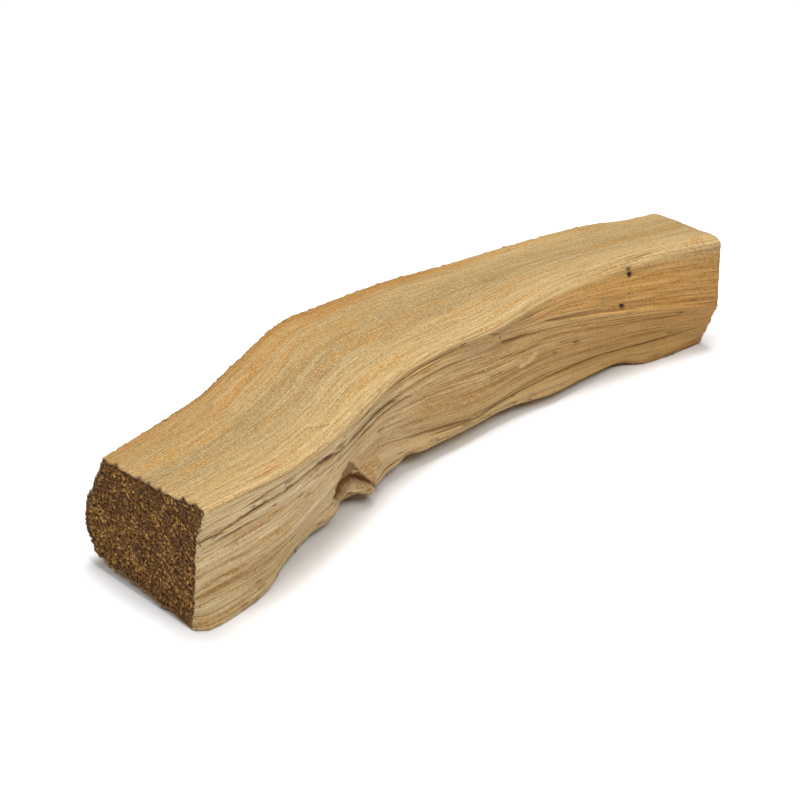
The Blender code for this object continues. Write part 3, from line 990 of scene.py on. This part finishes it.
def wireSawnWood():
    material = bpy.data.materials.new("sawnEndGrain")
    material.use_nodes = True
    tree = material.node_tree
    shader = tree.nodes["Principled BSDF"]
    shader.inputs["Roughness"].default_value = sawnWood["roughness"]
    where = addNode(tree, "ShaderNodeTexCoord", {})
    turn = {"Rotation": (math.radians(sawnWood["slant"]), 0, 0)}
    turned = addNode(tree, "ShaderNodeMapping", turn, {"Vector": where.outputs["Object"]})
    sources = addPatterns(tree, turned.outputs["Vector"], sawnWood["patterns"])
    marksAndShade = addNode(tree, "ShaderNodeAttribute", {"attribute_name": "marksAndShade"})
    apart = addNode(tree, "ShaderNodeSeparateXYZ", {}, {"Vector": marksAndShade.outputs["Vector"]})
    sources["band"], sources["relief"] = apart.outputs["X"], apart.outputs["Y"]
    colour = addLayers(tree, sawnWood["base"], sawnWood["layers"], sources)
    tree.links.new(colour, shader.inputs["Base Color"])
    bump = addNode(tree, "ShaderNodeBump", sawnWood["bump"], {"Height": sources["bundles"]})
    tree.links.new(bump.outputs["Normal"], shader.inputs["Normal"])
    return material


# The cut fibre bundles of both sawn ends: small long grains, laid out on a slanted grid and then put a
# little out of place, size and direction. Sizes are in mm.
bundleSet = {
    "seed": 3,
    "cells": (36, 54),  # each way from the middle, along the slant and across it
    "step": (0.5, 0.32),
    "stray": 0.4,  # of a step
    "slant": 45.0,
    "swing": 35.0,
    "long": (0.19, 0.36),
    "wide": (0.11, 0.18),
    "high": (0.14, 0.3),
    "sink": (0.1, 0.42),
}


def makeBundles(rings):
    draw = random.Random(bundleSet["seed"])
    bm = bmesh.new()
    bmesh.ops.create_icosphere(bm, subdivisions=1, radius=1.0)
    corners = [vert.co.copy() for vert in bm.verts]
    sides = [[vert.index for vert in face.verts] for face in bm.faces]
    bm.free()
    points, faces, tones = [], [], []
    turn, swing = math.radians(bundleSet["slant"]), math.radians(bundleSet["swing"])
    stray = bundleSet["stray"]
    rows, columns = bundleSet["cells"]
    cells = [(a, b) for a in range(-rows, rows + 1) for b in range(-columns, columns + 1)]
    for ring, end in ((rings[0], -1), (rings[-1], 1)):
        outline = [(point[0], point[1]) for point in ring]
        middle = sum((Vector(point) for point in outline), Vector((0, 0))) / len(outline)
        for a, b in cells:
            slanted = Vector((a + draw.uniform(-stray, stray), b + draw.uniform(-stray, stray)))
            slanted.x *= bundleSet["step"][0]
            slanted.y *= bundleSet["step"][1]
            centre = middle + Matrix.Rotation(turn, 2) @ slanted
            lie = Matrix.Rotation(turn + swing * draw.uniform(-1, 1), 2)
            long, wide, high = [draw.uniform(*bundleSet[key]) for key in ("long", "wide", "high")]
            sink, tone = draw.uniform(*bundleSet["sink"]), draw.random()
            tips = [lie @ Vector(tip) for tip in ((long, 0), (-long, 0), (0, wide), (0, -wide))]
            if not all(isInside(outline, centre + tip) for tip in tips):
                continue
            if draw.random() < sawnBand(centre):
                continue
            start = len(points)
            for corner in corners:
                flat = centre + lie @ Vector((corner.x * long, corner.y * wide))
                x = end * min(halfLength - sink + corner.z * high, halfLength)
                points.append(Vector((x, flat.x, flat.y)) * mm)
                tones.append(tone)
            faces += [[start + corner for corner in side] for side in sides]
    listed = bpy.data.meshes.new("listedBundles")  # one list is far faster than an operator for each
    listed.from_pydata(points, [], faces)
    listed.attributes.new("tone", "FLOAT", "POINT").data.foreach_set("value", tones)
    bm = bmesh.new()
    bm.from_mesh(listed)
    bpy.data.meshes.remove(listed)
    bmesh.ops.recalc_face_normals(bm, faces=bm.faces)
    for face in bm.faces:
        face.smooth = True
    return addPiece(bm, "cutBundles")


# Cut across, each bundle of fibres shows brown to the eye, one in three of them ochre and a few straw.
bundleWood = {
    "base": "#613d18",
    "roughness": 0.85,
    "clump": 3.0,  # mm across the patches in which bundles are alike, and how much they count
    "clumpShare": 0.9,
    "layers": [
        ("shade", 0.5, 1.0, 1.0, "#845927"),
        ("shade", 1.0, 1.25, 1.0, "#a27434"),
        ("shade", 1.28, 1.38, 1.0, "#c09550"),
    ],
}


def wireBundles():
    material = bpy.data.materials.new("cutFibreBundles")
    material.use_nodes = True
    tree = material.node_tree
    shader = tree.nodes["Principled BSDF"]
    shader.inputs["Roughness"].default_value = bundleWood["roughness"]
    tone = addNode(tree, "ShaderNodeAttribute", {"attribute_name": "tone"})
    where = addNode(tree, "ShaderNodeTexCoord", {})
    size = {"Scale": 1 / (bundleWood["clump"] * mm), "Detail": 2.0}
    clumps = addNode(tree, "ShaderNodeTexNoise", size, {"Vector": where.outputs["Object"]})
    settings = {"operation": "MULTIPLY_ADD", 1: bundleWood["clumpShare"]}
    shade = addNode(tree, "ShaderNodeMath", settings, {0: clumps.outputs["Fac"], 2: tone.outputs["Fac"]})
    colour = addLayers(tree, bundleWood["base"], bundleWood["layers"], {"shade": shade.outputs[0]})
    tree.links.new(colour, shader.inputs["Base Color"])
    return material


# Torn fibres that stand off the stick, each a thin tapered sliver that is bent along the grain. A place
# is counted in long edges, from topBack at 0; sizes are in mm.
sliverSet = {
    "seed": 7,
    "sides": 4,
    "pieces": 5,
    "taper": 6.0,  # how many times thinner the tip is
    "flat": 1.6,
    "sunk": 0.25,  # the share of its length that lies behind its root, and how low its bend starts
    "sunkBend": 0.15,
    "lift": (0.1, 0.45),
    "swing": (-0.25, 0.25),
    "rimX": -49.4,  # nearer the end than this, they stand out from the sawn rim
    "rimOut": 0.6,
    "groups": [
        {"count": 9, "x": (-49.9, -49.5), "places": (2.3, 8.9), "length": (0.4, 0.8), "wide": (0.2, 0.3)},
        {"count": 60, "x": (-46.0, 46.0), "places": (2.2, 4.8), "length": (1.6, 4.5), "wide": (0.07, 0.16)},
        {"count": 70, "x": (-46.0, 46.0), "places": (4.8, 5.4), "length": (0.9, 2.6), "wide": (0.08, 0.2)},
        {"count": 60, "x": (-46.0, 46.0), "places": (6.0, 8.8), "length": (1.4, 4.5), "wide": (0.08, 0.2)},
        {"count": 26, "x": (-46.0, 46.0), "places": (8.9, 9.1), "length": (0.6, 1.4), "wide": (0.08, 0.16)},
    ],
}


def sliverFrame(rings, stations, i, j):  # (root, along the grain, round the stick, outwards)
    def spotAt(station, column):
        return Vector((stations[station], *rings[station][column][:2]))

    along = spotAt(min(i + 4, len(stations) - 1), j) - spotAt(max(i - 4, 0), j)
    side = spotAt(i, (j + 2) % len(rings[i])) - spotAt(i, j - 2)
    return spotAt(i, j), along.normalized(), side.normalized(), along.cross(side).normalized()


def makeSlivers(rings, stations, places):
    draw = random.Random(sliverSet["seed"])
    bm = bmesh.new()
    grain = bm.verts.layers.float_vector.new("grain")
    for group in sliverSet["groups"]:
        for n in range(group["count"]):
            x = draw.uniform(*group["x"])
            place = draw.uniform(*group["places"]) % len(longEdges)
            length, wide = draw.uniform(*group["length"]), draw.uniform(*group["wide"])
            lift, swing = draw.uniform(*sliverSet["lift"]), draw.uniform(*sliverSet["swing"])
            i = min(range(len(stations)), key=lambda k: abs(stations[k] - x))
            j = min(range(len(places)), key=lambda k: abs(places[k] - place))
            root, along, side, out = sliverFrame(rings, stations, i, j)
            if n % 2 == 0:
                along = -along
            if x < sliverSet["rimX"]:
                along = -abs(swing) * Vector((1, 0, 0)) + out * sliverSet["rimOut"] + side * swing
                along.normalize()
            before = len(bm.verts)
            radius = wide / 2
            made = bmesh.ops.create_cone(
                bm, cap_ends=True, segments=sliverSet["sides"],
                radius1=radius, radius2=radius / sliverSet["taper"], depth=length,
            )["verts"]
            edges = {edge for vert in made for edge in vert.link_edges}
            edges = [edge for edge in edges if abs(edge.verts[0].co.z - edge.verts[1].co.z) > length / 2]
            bmesh.ops.subdivide_edges(bm, edges=edges, cuts=sliverSet["pieces"] - 1)
            bm.verts.ensure_lookup_table()
            for vert in bm.verts[before:]:
                t = vert.co.z / length + 0.5
                across = side * vert.co.x * sliverSet["flat"] + out * vert.co.y
                bent = out * lift * length * (t**2 - sliverSet["sunkBend"])
                vert.co = root + along * length * (t - sliverSet["sunk"]) + across + bent
                vert[grain] = Vector((root.y, root.z, vert.co.x)) * mm
                vert.co *= mm
    for vert in bm.verts:
        for axis in range(3):
            vert.co[axis] = min(max(vert.co[axis], stickLow[axis]), stickHigh[axis])
    bmesh.ops.recalc_face_normals(bm, faces=bm.faces)
    return addPiece(bm, "tornFibres")


# Matte white paper, which gives the eye a clean pale ground.
paperSet = {"colour": "#f2f4f8", "roughness": 0.9, "reach": 3.0}


def makeFloor():
    bm = bmesh.new()
    bmesh.ops.create_grid(bm, x_segments=1, y_segments=1, size=paperSet["reach"])
    floor = addPiece(bm, "floor")
    paper = bpy.data.materials.new("matteWhitePaper")
    paper.use_nodes = True
    shader = paper.node_tree.nodes["Principled BSDF"]
    shader.inputs["Base Color"].default_value = toLinear(paperSet["colour"])
    shader.inputs["Roughness"].default_value = paperSet["roughness"]
    floor.data.materials.append(paper)


studioSet = {
    "glow": 0.035,  # even light from all round
    "softboxes": {  # place and what it faces, in metres, width, power in watts, and colour
        "topSoftbox": ((0.02, 0.03, 0.6), (0.0, 0.0, 0.0), 0.25, 3.3, "#fffdfa"),
        "leftSoftbox": ((-0.35, -0.05, 0.5), (-0.05, 0.0, 0.0), 0.2, 1.05, "#ffffff"),
        "frontSoftbox": ((-0.05, -0.34, 0.48), (0.0, 0.0, 0.0), 0.25, 1.6, "#fffcf6"),
    },
}


def addLighting():
    scene = bpy.context.scene
    scene.view_settings.view_transform = "Standard"
    world = bpy.data.worlds.new("studio")
    world.use_nodes = True
    background = world.node_tree.nodes["Background"]
    background.inputs["Color"].default_value = toLinear("#ffffff")
    background.inputs["Strength"].default_value = studioSet["glow"]
    scene.world = world
    for name, (place, target, size, power, hexColour) in studioSet["softboxes"].items():
        data = bpy.data.lights.new(name, "AREA")
        data.shape = "SQUARE"
        data.size = size
        data.energy = power
        data.color = toLinear(hexColour)[:3]
        light = bpy.data.objects.new(name, data)
        light.location = place
        light.rotation_euler = (Vector(target) - Vector(place)).to_track_quat("-Z", "Y").to_euler()
        scene.collection.objects.link(light)


addCamera()
print("camera placed")
stick, rings, stations, places = makeStick()
splitHeartwood = wireSplitWood()
stick.data.materials.append(splitHeartwood)
stick.data.materials.append(wireSawnWood())
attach(stick, "root")
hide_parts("stick")
print("stick made")
bundles = makeBundles(rings)
bundles.data.materials.append(wireBundles())
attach(bundles, "root")
print("cut bundles made:", len(bundles.data.polygons), "faces")
fibres = makeSlivers(rings, stations, places)
fibres.data.materials.append(splitHeartwood)
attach(fibres, "root")
print("torn fibres made:", len(fibres.data.polygons), "faces")
makeFloor()
addLighting()
